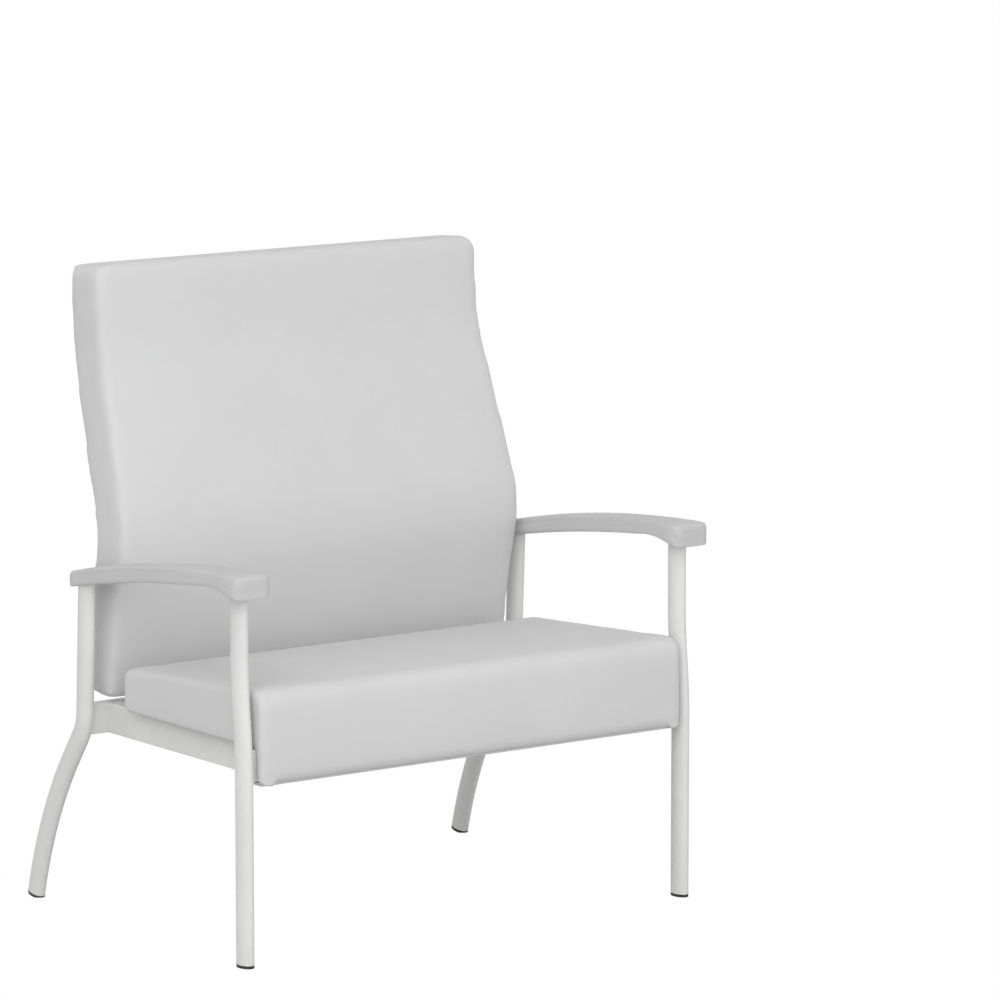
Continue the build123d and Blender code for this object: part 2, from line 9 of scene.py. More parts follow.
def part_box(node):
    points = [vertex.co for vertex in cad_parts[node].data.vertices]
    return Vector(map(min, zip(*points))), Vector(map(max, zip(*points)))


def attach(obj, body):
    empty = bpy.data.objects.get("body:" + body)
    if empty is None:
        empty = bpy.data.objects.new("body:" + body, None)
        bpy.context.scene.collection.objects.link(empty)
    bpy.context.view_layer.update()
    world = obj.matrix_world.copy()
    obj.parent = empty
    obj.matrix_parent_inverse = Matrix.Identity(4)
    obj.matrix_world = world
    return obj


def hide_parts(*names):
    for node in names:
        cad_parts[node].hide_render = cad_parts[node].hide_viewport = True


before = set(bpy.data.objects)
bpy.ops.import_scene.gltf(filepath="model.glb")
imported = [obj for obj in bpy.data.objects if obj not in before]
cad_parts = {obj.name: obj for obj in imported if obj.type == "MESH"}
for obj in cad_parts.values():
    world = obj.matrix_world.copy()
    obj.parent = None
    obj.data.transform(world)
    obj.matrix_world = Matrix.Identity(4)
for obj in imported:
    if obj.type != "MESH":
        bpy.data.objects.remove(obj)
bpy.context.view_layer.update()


# --- Powder-coated frame ---------------------------------------------------------------------
# Oval leg tubes, rectangular seat rails, tabs, arm plates and back uprights are welded steel,
# coated together in one near-white powder with a faint orange-peel surface.
COAT_WHITE = (0.80, 0.80, 0.79, 1.0)
COAT_SHADE = (0.74, 0.74, 0.735, 1.0)
FRAME_NODES = [
    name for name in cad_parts
    if any(word in name for word in ("leg", "rail", "tab", "upright", "back_bar", "arm_plate"))
]


def new_material(name):
    """Material with one Principled BSDF, returned with its node tree and that shader."""
    material = bpy.data.materials.new(name)
    material.use_nodes = True
    tree = material.node_tree
    return material, tree, tree.nodes["Principled BSDF"]


def add_node(tree, kind, **settings):
    """Shader node with its plain settings and, by socket name, its input values."""
    node = tree.nodes.new(kind)
    for key, value in settings.items():
        if key in node.inputs:
            node.inputs[key].default_value = value
        else:
            setattr(node, key, value)
    return node


def group_socket(group, name, kind, going, value=None):
    """One named socket on a shader node group."""
    item = group.interface.new_socket(name=name, in_out=going, socket_type=kind)
    if value is not None:
        item.default_value = value


def make_mottle():
    """Node group: slow, soft change between two colours, as in any coated or moulded surface."""
    group = bpy.data.node_groups.new("mottle", "ShaderNodeTree")
    group_socket(group, "Colour", "NodeSocketColor", "INPUT", (0.8, 0.8, 0.8, 1.0))
    group_socket(group, "Shade", "NodeSocketColor", "INPUT", (0.7, 0.7, 0.7, 1.0))
    group_socket(group, "Scale", "NodeSocketFloat", "INPUT", 8.0)
    group_socket(group, "Colour", "NodeSocketColor", "OUTPUT")
    group_socket(group, "Mask", "NodeSocketFloat", "OUTPUT")
    entry = group.nodes.new("NodeGroupInput")
    out = group.nodes.new("NodeGroupOutput")
    place = group.nodes.new("ShaderNodeTexCoord")
    noise = add_node(group, "ShaderNodeTexNoise", Detail=4.0, Roughness=0.55)
    spread = add_node(group, "ShaderNodeMapRange", clamp=True)
    spread.inputs["From Min"].default_value = 0.3
    spread.inputs["From Max"].default_value = 0.7
    mix = add_node(group, "ShaderNodeMix", data_type="RGBA")
    group.links.new(place.outputs["Object"], noise.inputs["Vector"])
    group.links.new(entry.outputs["Scale"], noise.inputs["Scale"])
    group.links.new(noise.outputs["Fac"], spread.inputs["Value"])
    group.links.new(spread.outputs["Result"], mix.inputs["Factor"])
    group.links.new(entry.outputs["Colour"], mix.inputs["A"])
    group.links.new(entry.outputs["Shade"], mix.inputs["B"])
    group.links.new(mix.outputs["Result"], out.inputs["Colour"])
    group.links.new(spread.outputs["Result"], out.inputs["Mask"])
    return group


mottle = make_mottle()


def mottle_into(tree, shader, colour, shade, scale):
    """Feeds the shader's base colour from the mottle group; returns the group's node."""
    soft = tree.nodes.new("ShaderNodeGroup")
    soft.node_tree = mottle
    soft.inputs["Colour"].default_value = colour
    soft.inputs["Shade"].default_value = shade
    soft.inputs["Scale"].default_value = scale
    tree.links.new(soft.outputs["Colour"], shader.inputs["Base Color"])
    return soft


def roughness_from(tree, shader, mask, low, high):
    """Roughness that runs from low to high with a mask."""
    spread = add_node(tree, "ShaderNodeMapRange")
    spread.inputs["To Min"].default_value = low
    spread.inputs["To Max"].default_value = high
    tree.links.new(mask, spread.inputs["Value"])
    tree.links.new(spread.outputs["Result"], shader.inputs["Roughness"])


def bump_from(tree, shader, height, depth, strength=1.0):
    """Bump of a depth in metres, from a height between 0 and 1."""
    bump = add_node(tree, "ShaderNodeBump", Strength=strength, Distance=depth)
    tree.links.new(height, bump.inputs["Height"])
    tree.links.new(bump.outputs["Normal"], shader.inputs["Normal"])
    return bump


def make_powder_coat():
    """Satin powder coat: orange peel of about 2 mm, and a slow change in tone."""
    material, tree, shader = new_material("powder_coat")
    soft = mottle_into(tree, shader, COAT_WHITE, COAT_SHADE, 6.0)
    roughness_from(tree, shader, soft.outputs["Mask"], 0.26, 0.34)
    shader.inputs["Coat Weight"].default_value = 0.25
    shader.inputs["Coat Roughness"].default_value = 0.15
    place = add_node(tree, "ShaderNodeTexCoord")
    peel = add_node(tree, "ShaderNodeTexNoise", Scale=520.0, Detail=2.0, Roughness=0.5)
    tree.links.new(place.outputs["Object"], peel.inputs["Vector"])
    bump_from(tree, shader, peel.outputs["Fac"], 0.00006)
    return material


def finish_node(name, material):
    """Gives a carried-over CAD node its material."""
    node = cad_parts[name]
    for place in range(len(node.data.materials)):
        node.data.materials[place] = material
    if not node.data.materials:
        node.data.materials.append(material)


powder_coat = make_powder_coat()
for name in FRAME_NODES:
    finish_node(name, powder_coat)


# --- Glides ----------------------------------------------------------------------------------
# Moulded black nylon, pressed into the leg tubes; a fine spark texture, scuffed at the sole.
GLIDE_BLACK = (0.018, 0.018, 0.019, 1.0)
GLIDE_SCUFF = (0.050, 0.050, 0.050, 1.0)


def make_fine_mould(name, colour, shade, low, high, pores, depth):
    """Moulded plastic: tone that drifts, and a fine texture from the mould."""
    material, tree, shader = new_material(name)
    soft = mottle_into(tree, shader, colour, shade, 14.0)
    roughness_from(tree, shader, soft.outputs["Mask"], low, high)
    place = add_node(tree, "ShaderNodeTexCoord")
    texture = add_node(tree, "ShaderNodeTexNoise", Scale=pores, Detail=3.0, Roughness=0.6)
    tree.links.new(place.outputs["Object"], texture.inputs["Vector"])
    bump_from(tree, shader, texture.outputs["Fac"], depth)
    return material


black_nylon = make_fine_mould("black_nylon", GLIDE_BLACK, GLIDE_SCUFF, 0.42, 0.6, 1400.0, 0.00005)
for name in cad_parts:
    if "glide" in name:
        finish_node(name, black_nylon)


# --- Fasteners -------------------------------------------------------------------------------
# Bolts, T-nuts, screws and inserts: cold-formed steel with a bright zinc plate.
ZINC = (0.58, 0.58, 0.56, 1.0)
ZINC_DULL = (0.46, 0.46, 0.45, 1.0)


def make_zinc():
    """Zinc plate: metallic, with cloudy patches."""
    material, tree, shader = new_material("zinc_plate")
    soft = mottle_into(tree, shader, ZINC, ZINC_DULL, 60.0)
    shader.inputs["Metallic"].default_value = 1.0
    roughness_from(tree, shader, soft.outputs["Mask"], 0.25, 0.45)
    return material


zinc_plate = make_zinc()
for name in ("arm_screws", "arm_inserts", "seat_bolts", "seat_t_nuts", "back_bolts", "back_t_nuts"):
    finish_node(name, zinc_plate)


# --- Boards ----------------------------------------------------------------------------------
# Birch plywood under the foam of the seat, behind its apron, and inside the back.
BIRCH = (0.60, 0.43, 0.26, 1.0)
BIRCH_DARK = (0.42, 0.28, 0.15, 1.0)


def make_plywood():
    """Plywood: long streaks of grain across the chair."""
    material, tree, shader = new_material("birch_plywood")
    place = add_node(tree, "ShaderNodeTexCoord")
    stretch = add_node(tree, "ShaderNodeMapping")
    stretch.inputs["Scale"].default_value = (3.0, 60.0, 60.0)
    grain = add_node(tree, "ShaderNodeTexNoise", Scale=1.5, Detail=8.0, Roughness=0.6, Distortion=0.4)
    mix = add_node(tree, "ShaderNodeMix", data_type="RGBA")
    mix.inputs["A"].default_value = BIRCH
    mix.inputs["B"].default_value = BIRCH_DARK
    tree.links.new(place.outputs["Object"], stretch.inputs["Vector"])
    tree.links.new(stretch.outputs["Vector"], grain.inputs["Vector"])
    tree.links.new(grain.outputs["Fac"], mix.inputs["Factor"])
    tree.links.new(mix.outputs["Result"], shader.inputs["Base Color"])
    shader.inputs["Roughness"].default_value = 0.65
    bump_from(tree, shader, grain.outputs["Fac"], 0.0002)
    return material


birch_plywood = make_plywood()
for name in ("seat_board", "seat_front_board", "back_board"):
    finish_node(name, birch_plywood)


# --- Dust cover ------------------------------------------------------------------------------
# Black non-woven cloth, stapled across the underside of the seat board.
CLOTH_BLACK = (0.020, 0.020, 0.022, 1.0)
CLOTH_FIBRE = (0.045, 0.045, 0.048, 1.0)


def make_dust_cloth():
    """Non-woven cloth: matted fibres and the small dimples that bond them."""
    material, tree, shader = new_material("dust_cloth")
    mottle_into(tree, shader, CLOTH_BLACK, CLOTH_FIBRE, 500.0)
    shader.inputs["Roughness"].default_value = 0.9
    place = add_node(tree, "ShaderNodeTexCoord")
    dimples = add_node(tree, "ShaderNodeTexVoronoi", Scale=450.0)
    tree.links.new(place.outputs["Object"], dimples.inputs["Vector"])
    bump_from(tree, shader, dimples.outputs["Distance"], 0.0002)
    return material


CLOTH_INSET = 0.014           # its edge inside the seat's edge
CLOTH_THICKNESS = 0.0005
CLOTH_PROUD = 0.0002          # how far it stands below the vinyl that it covers
STAPLE_PITCH = 0.045
STAPLE_INSET = 0.006
STAPLE_CROWN = 0.010
STAPLE_WIRE = 0.0011
dust_cloth = make_dust_cloth()
cloth_low, cloth_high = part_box("seat_dust_cover")
cloth_half = cloth_high.x - CLOTH_INSET
cloth_front = cloth_low.y + CLOTH_INSET
cloth_rear = cloth_high.y - CLOTH_INSET
cloth_face = cloth_low.z - CLOTH_PROUD


def add_block(form, middle, size):
    """Adds one block to a form, its sizes along X, Y and Z."""
    made = bmesh.ops.create_cube(form, size=1.0)["verts"]
    bmesh.ops.scale(form, verts=made, vec=size)
    bmesh.ops.translate(form, verts=made, vec=middle)


def make_piece(name, form, material, smooth):
    """Puts a finished form into the chair as a new object with its material."""
    mesh = bpy.data.meshes.new(name)
    form.to_mesh(mesh)
    form.free()
    for face in mesh.polygons:
        face.use_smooth = smooth
    mesh.materials.append(material)
    piece = bpy.data.objects.new(name, mesh)
    bpy.context.collection.objects.link(piece)
    return piece


cloth_form = bmesh.new()
add_block(
    cloth_form,
    (0, (cloth_front + cloth_rear) / 2, cloth_face + CLOTH_THICKNESS / 2),
    (2 * cloth_half, cloth_rear - cloth_front, CLOTH_THICKNESS),
)
dust_sheet = make_piece("dust_sheet", cloth_form, dust_cloth, False)
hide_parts("seat_dust_cover")
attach(dust_sheet, "root")

staple_form = bmesh.new()
staple_size = (STAPLE_CROWN, STAPLE_WIRE, STAPLE_WIRE)
along = round(2 * (cloth_half - STAPLE_PITCH) / STAPLE_PITCH)
for place in range(along + 1):
    x = (place / along - 0.5) * 2 * (cloth_half - STAPLE_PITCH / 2)
    for y in (cloth_front + STAPLE_INSET, cloth_rear - STAPLE_INSET):
        add_block(staple_form, (x, y, cloth_face), staple_size)
across = round((cloth_rear - cloth_front - 2 * STAPLE_PITCH) / STAPLE_PITCH)
for place in range(across + 1):
    y = cloth_front + STAPLE_PITCH + place / across * (cloth_rear - cloth_front - 2 * STAPLE_PITCH)
    for x in (cloth_half - STAPLE_INSET, STAPLE_INSET - cloth_half):
        add_block(staple_form, (x, y, cloth_face), (STAPLE_WIRE, STAPLE_CROWN, STAPLE_WIRE))
dust_staples = make_piece("dust_staples", staple_form, zinc_plate, False)
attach(dust_staples, "root")


# --- Vinyl -----------------------------------------------------------------------------------
# Pale grey coated vinyl on a knitted backing, embossed with a fine wrinkled leather grain.
VINYL_GREY = (0.688, 0.688, 0.690, 1.0)
VINYL_SHADE = (0.664, 0.664, 0.666, 1.0)


def make_leather_grain():
    """Node group: wrinkled leather grain, small uneven cells crossed by longer creases."""
    group = bpy.data.node_groups.new("leather_grain", "ShaderNodeTree")
    group_socket(group, "Cells", "NodeSocketFloat", "INPUT", 600.0)
    group_socket(group, "Creases", "NodeSocketFloat", "INPUT", 120.0)
    group_socket(group, "Height", "NodeSocketFloat", "OUTPUT")
    entry = group.nodes.new("NodeGroupInput")
    out = group.nodes.new("NodeGroupOutput")
    place = group.nodes.new("ShaderNodeTexCoord")
    wander = add_node(group, "ShaderNodeTexNoise", Scale=45.0, Detail=3.0)
    push = add_node(group, "ShaderNodeVectorMath", operation="MULTIPLY_ADD")
    push.inputs[1].default_value = (0.012, 0.012, 0.012)
    cells = add_node(group, "ShaderNodeTexVoronoi", feature="DISTANCE_TO_EDGE")
    creases = add_node(group, "ShaderNodeTexVoronoi", feature="DISTANCE_TO_EDGE")
    cell_rim = add_node(group, "ShaderNodeMapRange", interpolation_type="SMOOTHSTEP")
    cell_rim.inputs["From Max"].default_value = 0.22
    crease_rim = add_node(group, "ShaderNodeMapRange", interpolation_type="SMOOTHSTEP")
    crease_rim.inputs["From Max"].default_value = 0.10
    both = add_node(group, "ShaderNodeMath", operation="MULTIPLY")
    group.links.new(place.outputs["Object"], wander.inputs["Vector"])
    group.links.new(wander.outputs["Color"], push.inputs[0])
    group.links.new(place.outputs["Object"], push.inputs[2])
    group.links.new(push.outputs["Vector"], cells.inputs["Vector"])
    group.links.new(push.outputs["Vector"], creases.inputs["Vector"])
    group.links.new(entry.outputs["Cells"], cells.inputs["Scale"])
    group.links.new(entry.outputs["Creases"], creases.inputs["Scale"])
    group.links.new(cells.outputs["Distance"], cell_rim.inputs["Value"])
    group.links.new(creases.outputs["Distance"], crease_rim.inputs["Value"])
    group.links.new(cell_rim.outputs["Result"], both.inputs[0])
    group.links.new(crease_rim.outputs["Result"], both.inputs[1])
    group.links.new(both.outputs["Value"], out.inputs["Height"])
    return group


leather_grain = make_leather_grain()


def make_vinyl():
    """Vinyl: soft gloss on the raised grain, a little duller in its creases."""
    material, tree, shader = new_material("grey_vinyl")
    mottle_into(tree, shader, VINYL_GREY, VINYL_SHADE, 5.0)
    grain = tree.nodes.new("ShaderNodeGroup")
    grain.node_tree = leather_grain
    roughness_from(tree, shader, grain.outputs["Height"], 0.62, 0.46)
    bump_from(tree, shader, grain.outputs["Height"], 0.00012)
    return material


grey_vinyl = make_vinyl()


# --- Seat upholstery -------------------------------------------------------------------------
# Vinyl pulled over foam on a plywood board. Its front apron is deep, and the vinyl wraps under
# the apron's lower edge, except at the two ends, where it is folded flat to a mitre.
VOXEL = 0.006
SEAT_ROUNDING = 3             # passes of smoothing over its edges
SEAT_CROWN = 0.006            # how far the middle of the seat swells
PAD_PRESSURE = 4.0
PAD_FRAMES = 20
PAD_TUCK = 0.0015             # how far tight vinyl pulls an edge in
APRON_ROUND = 0.019           # radius that the vinyl turns under the apron
MITRE_LOW = 0.017             # the fold's distance from the apron's end, at its foot
MITRE_SLOPE = 1.4             # and how fast it runs inwards as it rises
MITRE_SOFT = 0.003
seat_low, seat_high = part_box("seat_cover")
apron_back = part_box("front_cross_rail")[0].y
seat_underside = cloth_low.z
HELD_RISE = 0.004             # the vinyl is fixed up to this height above the underside
FREE_RISE = 0.016             # and free to swell from here
HELD_REACH = 0.002            # the same two, ahead of the apron's back
FREE_REACH = 0.008
SAME_POINT = 1e-6             # corners this close are one
STEP_OFF = 0.0004             # start of a test ray, off the face
LAST_ROUNDS = 2


def joined_skin(name, nodes):
    """New object: the outside faces of CAD nodes taken together, with the small holes closed."""
    shell = bmesh.new()
    for node in nodes:
        shell.from_mesh(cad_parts[node].data)
    bmesh.ops.remove_doubles(shell, verts=shell.verts, dist=SAME_POINT)
    shell.normal_update()
    tree = BVHTree.FromBMesh(shell)
    hidden = []
    for face in shell.faces:
        start = face.calc_center_median() + face.normal * STEP_OFF
        if tree.ray_cast(start, face.normal)[0] is not None:
            hidden.append(face)
    bmesh.ops.delete(shell, geom=hidden, context="FACES")
    bmesh.ops.holes_fill(shell, edges=shell.edges, sides=0)
    return make_piece(name, shell, grey_vinyl, False)


def apply_modifiers(piece):
    """Puts the result of a piece's modifiers into its mesh, and takes them off."""
    seen = piece.evaluated_get(bpy.context.evaluated_depsgraph_get())
    mesh = bpy.data.meshes.new_from_object(seen)
    old = piece.data
    piece.modifiers.clear()
    piece.data = mesh
    mesh.name = old.name
    bpy.data.meshes.remove(old)


def remesh(piece, size, rounding):
    """Even quads of one size over the whole form, its edges rounded by passes of smoothing."""
    voxels = piece.modifiers.new("voxels", "REMESH")
    voxels.mode = "VOXEL"
    voxels.voxel_size = size
    soften = piece.modifiers.new("soften", "SMOOTH")
    soften.iterations = rounding
    apply_modifiers(piece)


def plump(piece, held, crown):
    """Blows the pad up with a short cloth simulation, and keeps that swelling's shape at the
    crown's height. held(point) is 1 where the vinyl is fixed."""
    pins = piece.vertex_groups.new(name="held")
    fixed = [held(v.co) for v in piece.data.vertices]
    starts = [v.co.copy() for v in piece.data.vertices]
    normals = [v.normal.copy() for v in piece.data.vertices]
    for place, weight in enumerate(fixed):
        pins.add([place], weight, "REPLACE")
    cloth = piece.modifiers.new("cloth", "CLOTH")
    cloth.settings.vertex_group_mass = "held"
    cloth.settings.use_pressure = True
    cloth.settings.uniform_pressure_force = PAD_PRESSURE
    cloth.settings.effector_weights.gravity = 0
    cloth.point_cache.frame_end = PAD_FRAMES
    for moment in range(1, PAD_FRAMES + 1):
        bpy.context.scene.frame_set(moment)
    apply_modifiers(piece)
    bpy.context.scene.frame_set(1)
    points = piece.data.vertices
    swelling = [(v.co - start).dot(normal) for v, start, normal in zip(points, starts, normals)]
    share = crown / max(swelling)
    for v, start, normal, rise, weight in zip(points, starts, normals, swelling, fixed):
        v.co = start + normal * max(rise * share, -PAD_TUCK) * (1 - weight)


def finish_pad(piece):
    """Takes the last ripples out of a pad, subdivides it once, and shades it as smooth vinyl."""
    soften = piece.modifiers.new("soften", "SMOOTH")
    soften.iterations = LAST_ROUNDS
    finer = piece.modifiers.new("finer", "SUBSURF")
    finer.levels = 1
    finer.render_levels = 1
    apply_modifiers(piece)
    for face in piece.data.polygons:
        face.use_smooth = True
    piece.data.materials.clear()
    piece.data.materials.append(grey_vinyl)


def ramp(value, low, high):
    """0 below low, 1 above high, smooth in between."""
    share = min(1.0, max(0.0, (value - low) / (high - low)))
    return share * share * (3 - 2 * share)


def seat_held(point):
    """The underside of the seat and the back of its apron rest on board and rail."""
    under = 1 - ramp(point.z, seat_underside + HELD_RISE, seat_underside + FREE_RISE)
    behind = ramp(point.y, apron_back - FREE_REACH, apron_back - HELD_REACH)
    return under * behind


seat_pad = joined_skin("seat_upholstery", [
    "seat_cover", "seat_foam", "seat_board", "seat_front_board", "seat_dust_cover", "seat_t_nuts",
])
remesh(seat_pad, VOXEL, SEAT_ROUNDING)
plump(seat_pad, seat_held, SEAT_CROWN)
finish_pad(seat_pad)
for v in seat_pad.data.vertices:
    forward = seat_low.y + APRON_ROUND - v.co.y
    down = seat_low.z + APRON_ROUND - v.co.z
    if forward > 0 and down > 0:
        fold = seat_high.x - MITRE_LOW - MITRE_SLOPE * (v.co.z - seat_low.z)
        flat = ramp(abs(v.co.x), fold, fold + MITRE_SOFT)
        reach = (forward * forward + down * down) ** 0.5
        spread = 1 + flat * (reach / max(forward, down) - 1)
        v.co.y = seat_low.y + APRON_ROUND - forward * spread
        v.co.z = seat_low.z + APRON_ROUND - down * spread
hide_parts("seat_cover", "seat_foam")
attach(seat_pad, "root")


# --- Apron lip -------------------------------------------------------------------------------
# The vinyl's hem, folded over a stiffening strip and stapled under the apron's board. It stands
# out behind the apron, under the front rail, and its ends are rounded.
LIP_DEPTH = 0.015             # how far it reaches behind the apron
LIP_THICKNESS = 0.006
LIP_END = 0.006               # its ends, inside the apron's ends
LIP_ROUND = 0.0028
LIP_CLEAR = 0.0005            # between it and the front rail


def make_apron_lip():
    """Folded hem: a thin flat strip along the apron's foot, with every edge rolled."""
    rail_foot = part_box("front_cross_rail")[0].z
    high = min(rail_foot - LIP_CLEAR, seat_low.z + LIP_THICKNESS)
    form = bmesh.new()
    bmesh.ops.create_cube(form, size=1.0)
    half = seat_high.x - LIP_END
    near = apron_back - APRON_ROUND / 2
    far = apron_back + LIP_DEPTH
    bmesh.ops.scale(form, verts=form.verts, vec=(2 * half, far - near, high - seat_low.z))
    bmesh.ops.translate(form, verts=form.verts, vec=(0, (near + far) / 2, (high + seat_low.z) / 2))
    bmesh.ops.bevel(
        form, geom=form.edges, offset=LIP_ROUND, offset_type="OFFSET", segments=5, profile=0.5,
        affect="EDGES", material=-1, clamp_overlap=True,
    )
    piece = make_piece("apron_lip", form, grey_vinyl, True)
    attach(piece, "root")


make_apron_lip()


# --- Back upholstery -------------------------------------------------------------------------
# Vinyl over foam on both sides of a curved plywood board, narrower at the head. It leans on the
# two uprights inside it, and stands just clear of the rear rail.
BACK_ROUNDING = 34            # passes of smoothing, which give its edges their large radius
BACK_CROWN = 0.008
HEAD_TAPER = 0.10             # the rear face leans in over this height, below the top edge
HEAD_THIN = 0.014
WAIST_LOW = 0.46              # and where the vinyl is drawn in behind the waist
WAIST = 0.63
WAIST_HIGH = 0.76
WAIST_THIN = 0.012
HEM_HELD = 0.004              # the vinyl is fixed up to this height above the bottom edge
HEM_FREE = 0.03               # and free to swell from here
back_low, back_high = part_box("back_cover")


def back_held(point):
    """The bottom edge is pulled tight round the uprights."""
    return 1 - ramp(point.z, back_low.z + HEM_HELD, back_low.z + HEM_FREE)


back_pad = joined_skin("back_upholstery", ["back_cover"])
remesh(back_pad, VOXEL, BACK_ROUNDING)
plump(back_pad, back_held, BACK_CROWN)
finish_pad(back_pad)
facing_rear = [max(0.0, v.normal.y) for v in back_pad.data.vertices]
for v, behind in zip(back_pad.data.vertices, facing_rear):
    at_top = ramp(v.co.z, back_high.z - HEAD_TAPER, back_high.z)
    at_waist = ramp(v.co.z, WAIST_LOW, WAIST) * (1 - ramp(v.co.z, WAIST, WAIST_HIGH))
    v.co.y -= behind * (HEAD_THIN * at_top + WAIST_THIN * at_waist)
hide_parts("back_cover", "back_front_foam", "back_rear_foam")
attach(back_pad, "root")


# --- Arm caps --------------------------------------------------------------------------------
# Moulded in grey self-skinned plastic over a steel plate, with a fine matt texture.
ARM_GREY = (0.575, 0.575, 0.577, 1.0)
ARM_SHADE = (0.548, 0.548, 0.550, 1.0)
NOSE_CORNER = 0.016           # radius of the nose's corners, seen from above
NOSE_DROOP = 0.009            # radius of its top front edge
NOSE_CHIN = 0.0015            # and of its bottom front edge
TAIL_ROUND = 0.004
ARM_ROUNDS = 48               # points round the arm, and along it
ARM_STATIONS = 96
ARM_DOME = 4.4                # how square the cross section is, above its middle
ARM_FOOT = 16.0               # and below it, down to the crisp lower edge
ARM_LIFT = 0.0005             # the cap's underside, above the face of its steel plate
PLATE_REACH = 0.0145          # just outside the steel plate, from the arm's centre line
STATION_CROWDING = 1.5        # stations lie closer together towards the nose
NOSE_CLEAR = 0.002            # heights are read this far inside the cap's ends
TAIL_CLEAR = 0.006
TAIL_WIDTH_CLEAR = 0.009      # and widths this far inside its tail
OUTSIDE = 0.1                 # start of the ray that reads the width
END_SIDES = 4                 # faces with more sides than this close an end, and stay flat
ARM_SAME_POINT = 1e-5
arm_plastic = make_fine_mould("arm_plastic", ARM_GREY, ARM_SHADE, 0.45, 0.56, 900.0, 0.00008)


def turned_in(gap, radius):
    """How far a rounded edge of that radius lies inside, at a gap from the end."""
    if gap >= radius:
        return 0.0
    return radius - (radius * radius - (radius - gap) ** 2) ** 0.5


def power(value, exponent):
    """Power that keeps the sign."""
    return abs(value) ** exponent * (1 if value >= 0 else -1)


def make_arm_cap(side):
    """Arm cap: a soft oblong section, carried along the CAD cap from its nose to its tail."""
    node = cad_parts[f"arm_cap_{side}"]
    low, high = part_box(f"arm_cap_{side}")
    middle = (low.x + high.x) / 2
    corners = [v.co for v in node.data.vertices]
    cad = BVHTree.FromPolygons(corners, [face.vertices for face in node.data.polygons])
    form = bmesh.new()
    bmesh.ops.create_grid(form, x_segments=ARM_ROUNDS, y_segments=ARM_STATIONS, size=1.0)
    for v in form.verts:
        angle = pi * v.co.x
        share = (v.co.y + 1) / 2
        y = low.y + (high.y - low.y) * share ** STATION_CROWDING
        nose_gap = y - low.y
        tail_gap = high.y - y
        at = min(max(y, low.y + NOSE_CLEAR), high.y - TAIL_CLEAR)
        top = cad.ray_cast(Vector((middle, at, 1.0)), Vector((0, 0, -1)))[0].z
        beside_plate = Vector((middle + PLATE_REACH, at, 0.0))
        under = cad.ray_cast(beside_plate, Vector((0, 0, 1)))[0].z + ARM_LIFT
        clear = min(max(y, low.y + NOSE_CORNER), high.y - TAIL_WIDTH_CLEAR)
        beside_cap = Vector((middle + OUTSIDE, clear, (top + under) / 2))
        width = cad.ray_cast(beside_cap, Vector((-1, 0, 0)))[0].x - middle
        width -= turned_in(nose_gap, NOSE_CORNER) + turned_in(tail_gap, TAIL_ROUND)
        top -= turned_in(nose_gap, NOSE_DROOP) + turned_in(tail_gap, TAIL_ROUND)
        under += turned_in(nose_gap, NOSE_CHIN) + turned_in(tail_gap, TAIL_ROUND)
        squareness = ARM_DOME if sin(angle) > 0 else ARM_FOOT
        v.co.x = middle + width * power(cos(angle), 2 / squareness)
        v.co.y = y
        v.co.z = (top + under) / 2 + (top - under) / 2 * power(sin(angle), 2 / squareness)
    bmesh.ops.remove_doubles(form, verts=form.verts, dist=ARM_SAME_POINT)
    bmesh.ops.holes_fill(form, edges=form.edges, sides=0)
    bmesh.ops.recalc_face_normals(form, faces=form.faces)
    piece = make_piece(f"arm_cap_{side}_skin", form, arm_plastic, True)
    for face in piece.data.polygons:
        face.use_smooth = len(face.vertices) <= END_SIDES
    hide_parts(f"arm_cap_{side}")
    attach(piece, "root")


for side in ("left", "right"):
    make_arm_cap(side)


# --- Floor and backdrop ----------------------------------------------------------------------
# A plain pale studio floor; it isn't part of the chair.
FLOOR_SIZE = 60.0
FLOOR_GREY = (0.66, 0.66, 0.66, 1.0)
FLOOR_SHADE = (0.64, 0.64, 0.64, 1.0)
floor_paint, floor_tree, floor_shader = new_material("floor_paint")
mottle_into(floor_tree, floor_shader, FLOOR_GREY, FLOOR_SHADE, 1.0)
floor_shader.inputs["Roughness"].default_value = 0.9
floor_shader.inputs["Specular IOR Level"].default_value = 0.0
glow = add_node(floor_tree, "ShaderNodeEmission", Strength=1.0)
seen_first = add_node(floor_tree, "ShaderNodeLightPath")
floor_mix = add_node(floor_tree, "ShaderNodeMixShader")
floor_out = floor_tree.nodes["Material Output"]
floor_tree.links.new(seen_first.outputs["Is Camera Ray"], floor_mix.inputs["Fac"])
floor_tree.links.new(floor_shader.outputs["BSDF"], floor_mix.inputs[1])
floor_tree.links.new(glow.outputs["Emission"], floor_mix.inputs[2])
floor_tree.links.new(floor_mix.outputs["Shader"], floor_out.inputs["Surface"])
floor_form = bmesh.new()
bmesh.ops.create_grid(floor_form, x_segments=1, y_segments=1, size=FLOOR_SIZE / 2)
studio_floor = make_piece("studio_floor", floor_form, floor_paint, False)


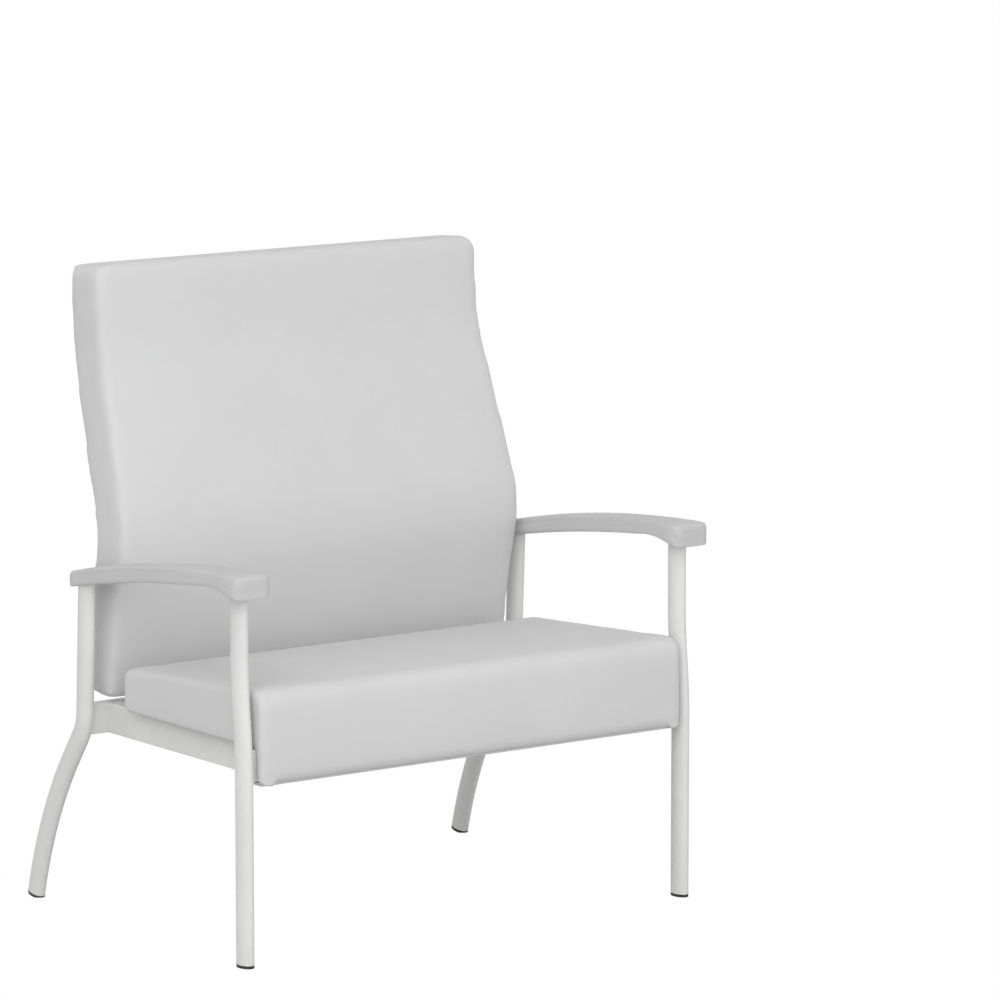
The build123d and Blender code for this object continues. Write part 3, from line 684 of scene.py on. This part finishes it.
# --- Light -----------------------------------------------------------------------------------
# White surroundings, a large soft lamp high on the sitter's right, and a narrow one in front
# that draws a bright line down each tube.
scene = bpy.context.scene
scene.view_settings.view_transform = "Standard"
world = bpy.data.worlds.new("white_studio")
scene.world = world
world.use_nodes = True
DOME_LOW = 0.86               # light from all round, at the level of the floor and overhead
DOME_HIGH = 0.58
sky = world.node_tree
dome = sky.nodes["Background"]
dome.inputs["Color"].default_value = (1.0, 1.0, 1.0, 1.0)
sky_place = add_node(sky, "ShaderNodeTexCoord")
sky_height = add_node(sky, "ShaderNodeSeparateXYZ")
sky_fall = add_node(sky, "ShaderNodeMapRange")
sky_fall.inputs["To Min"].default_value = DOME_LOW
sky_fall.inputs["To Max"].default_value = DOME_HIGH
sky.links.new(sky_place.outputs["Generated"], sky_height.inputs["Vector"])
sky.links.new(sky_height.outputs["Z"], sky_fall.inputs["Value"])
sky.links.new(sky_fall.outputs["Result"], dome.inputs["Strength"])
white = add_node(sky, "ShaderNodeBackground", Strength=1.0)
white.inputs["Color"].default_value = (1.0, 1.0, 1.0, 1.0)
first_ray = add_node(sky, "ShaderNodeLightPath")
sky_mix = add_node(sky, "ShaderNodeMixShader")
sky.links.new(first_ray.outputs["Is Camera Ray"], sky_mix.inputs["Fac"])
sky.links.new(dome.outputs["Background"], sky_mix.inputs[1])
sky.links.new(white.outputs["Background"], sky_mix.inputs[2])
sky.links.new(sky_mix.outputs["Shader"], sky.nodes["World Output"].inputs["Surface"])


def soft_lamp(name, place, aim, width, height, watts):
    """Rectangular area lamp that faces a point."""
    lamp = bpy.data.lights.new(name, "AREA")
    lamp.shape = "RECTANGLE"
    lamp.size = width
    lamp.size_y = height
    lamp.energy = watts
    holder = bpy.data.objects.new(name, lamp)
    holder.location = place
    holder.rotation_euler = (Vector(aim) - Vector(place)).to_track_quat("-Z", "Y").to_euler()
    bpy.context.collection.objects.link(holder)


KEY_PLACE = (-2.97, -3.24, 3.9)
KEY_AIM = (0, 0, 0.6)
KEY_SIZE = 4.5
KEY_WATTS = 120
STRIP_PLACE = (0.55, -3.9, 1.0)
STRIP_AIM = (0, 0, 0.5)
STRIP_WIDTH = 0.22
STRIP_HEIGHT = 2.6
STRIP_WATTS = 12
soft_lamp("key_lamp", KEY_PLACE, KEY_AIM, KEY_SIZE, KEY_SIZE, KEY_WATTS)
soft_lamp("strip_lamp", STRIP_PLACE, STRIP_AIM, STRIP_WIDTH, STRIP_HEIGHT, STRIP_WATTS)


# --- Camera ----------------------------------------------------------------------------------
# A long lens from the sitter's right, just above the level of the seat.
LENS_MM = 211.7
SENSOR_MM = 36.0
CAMERA_AZIMUTH = radians(36.04)
CAMERA_ELEVATION = radians(8.95)
CAMERA_DISTANCE = 10.07
AIM_RIGHT = 0.206
AIM_REAR = -0.1269
AIM_HEIGHT = 0.690
aim = Vector((AIM_RIGHT, AIM_REAR, AIM_HEIGHT))
toward = Vector((
    -sin(CAMERA_AZIMUTH) * cos(CAMERA_ELEVATION),
    -cos(CAMERA_AZIMUTH) * cos(CAMERA_ELEVATION),
    sin(CAMERA_ELEVATION),
))
camera = bpy.data.cameras.new("camera")
camera.lens = LENS_MM
camera.sensor_width = SENSOR_MM
camera_stand = bpy.data.objects.new("camera", camera)
camera_stand.location = aim + toward * CAMERA_DISTANCE
camera_stand.rotation_euler = (-toward).to_track_quat("-Z", "Y").to_euler()
bpy.context.collection.objects.link(camera_stand)
scene.camera = camera_stand
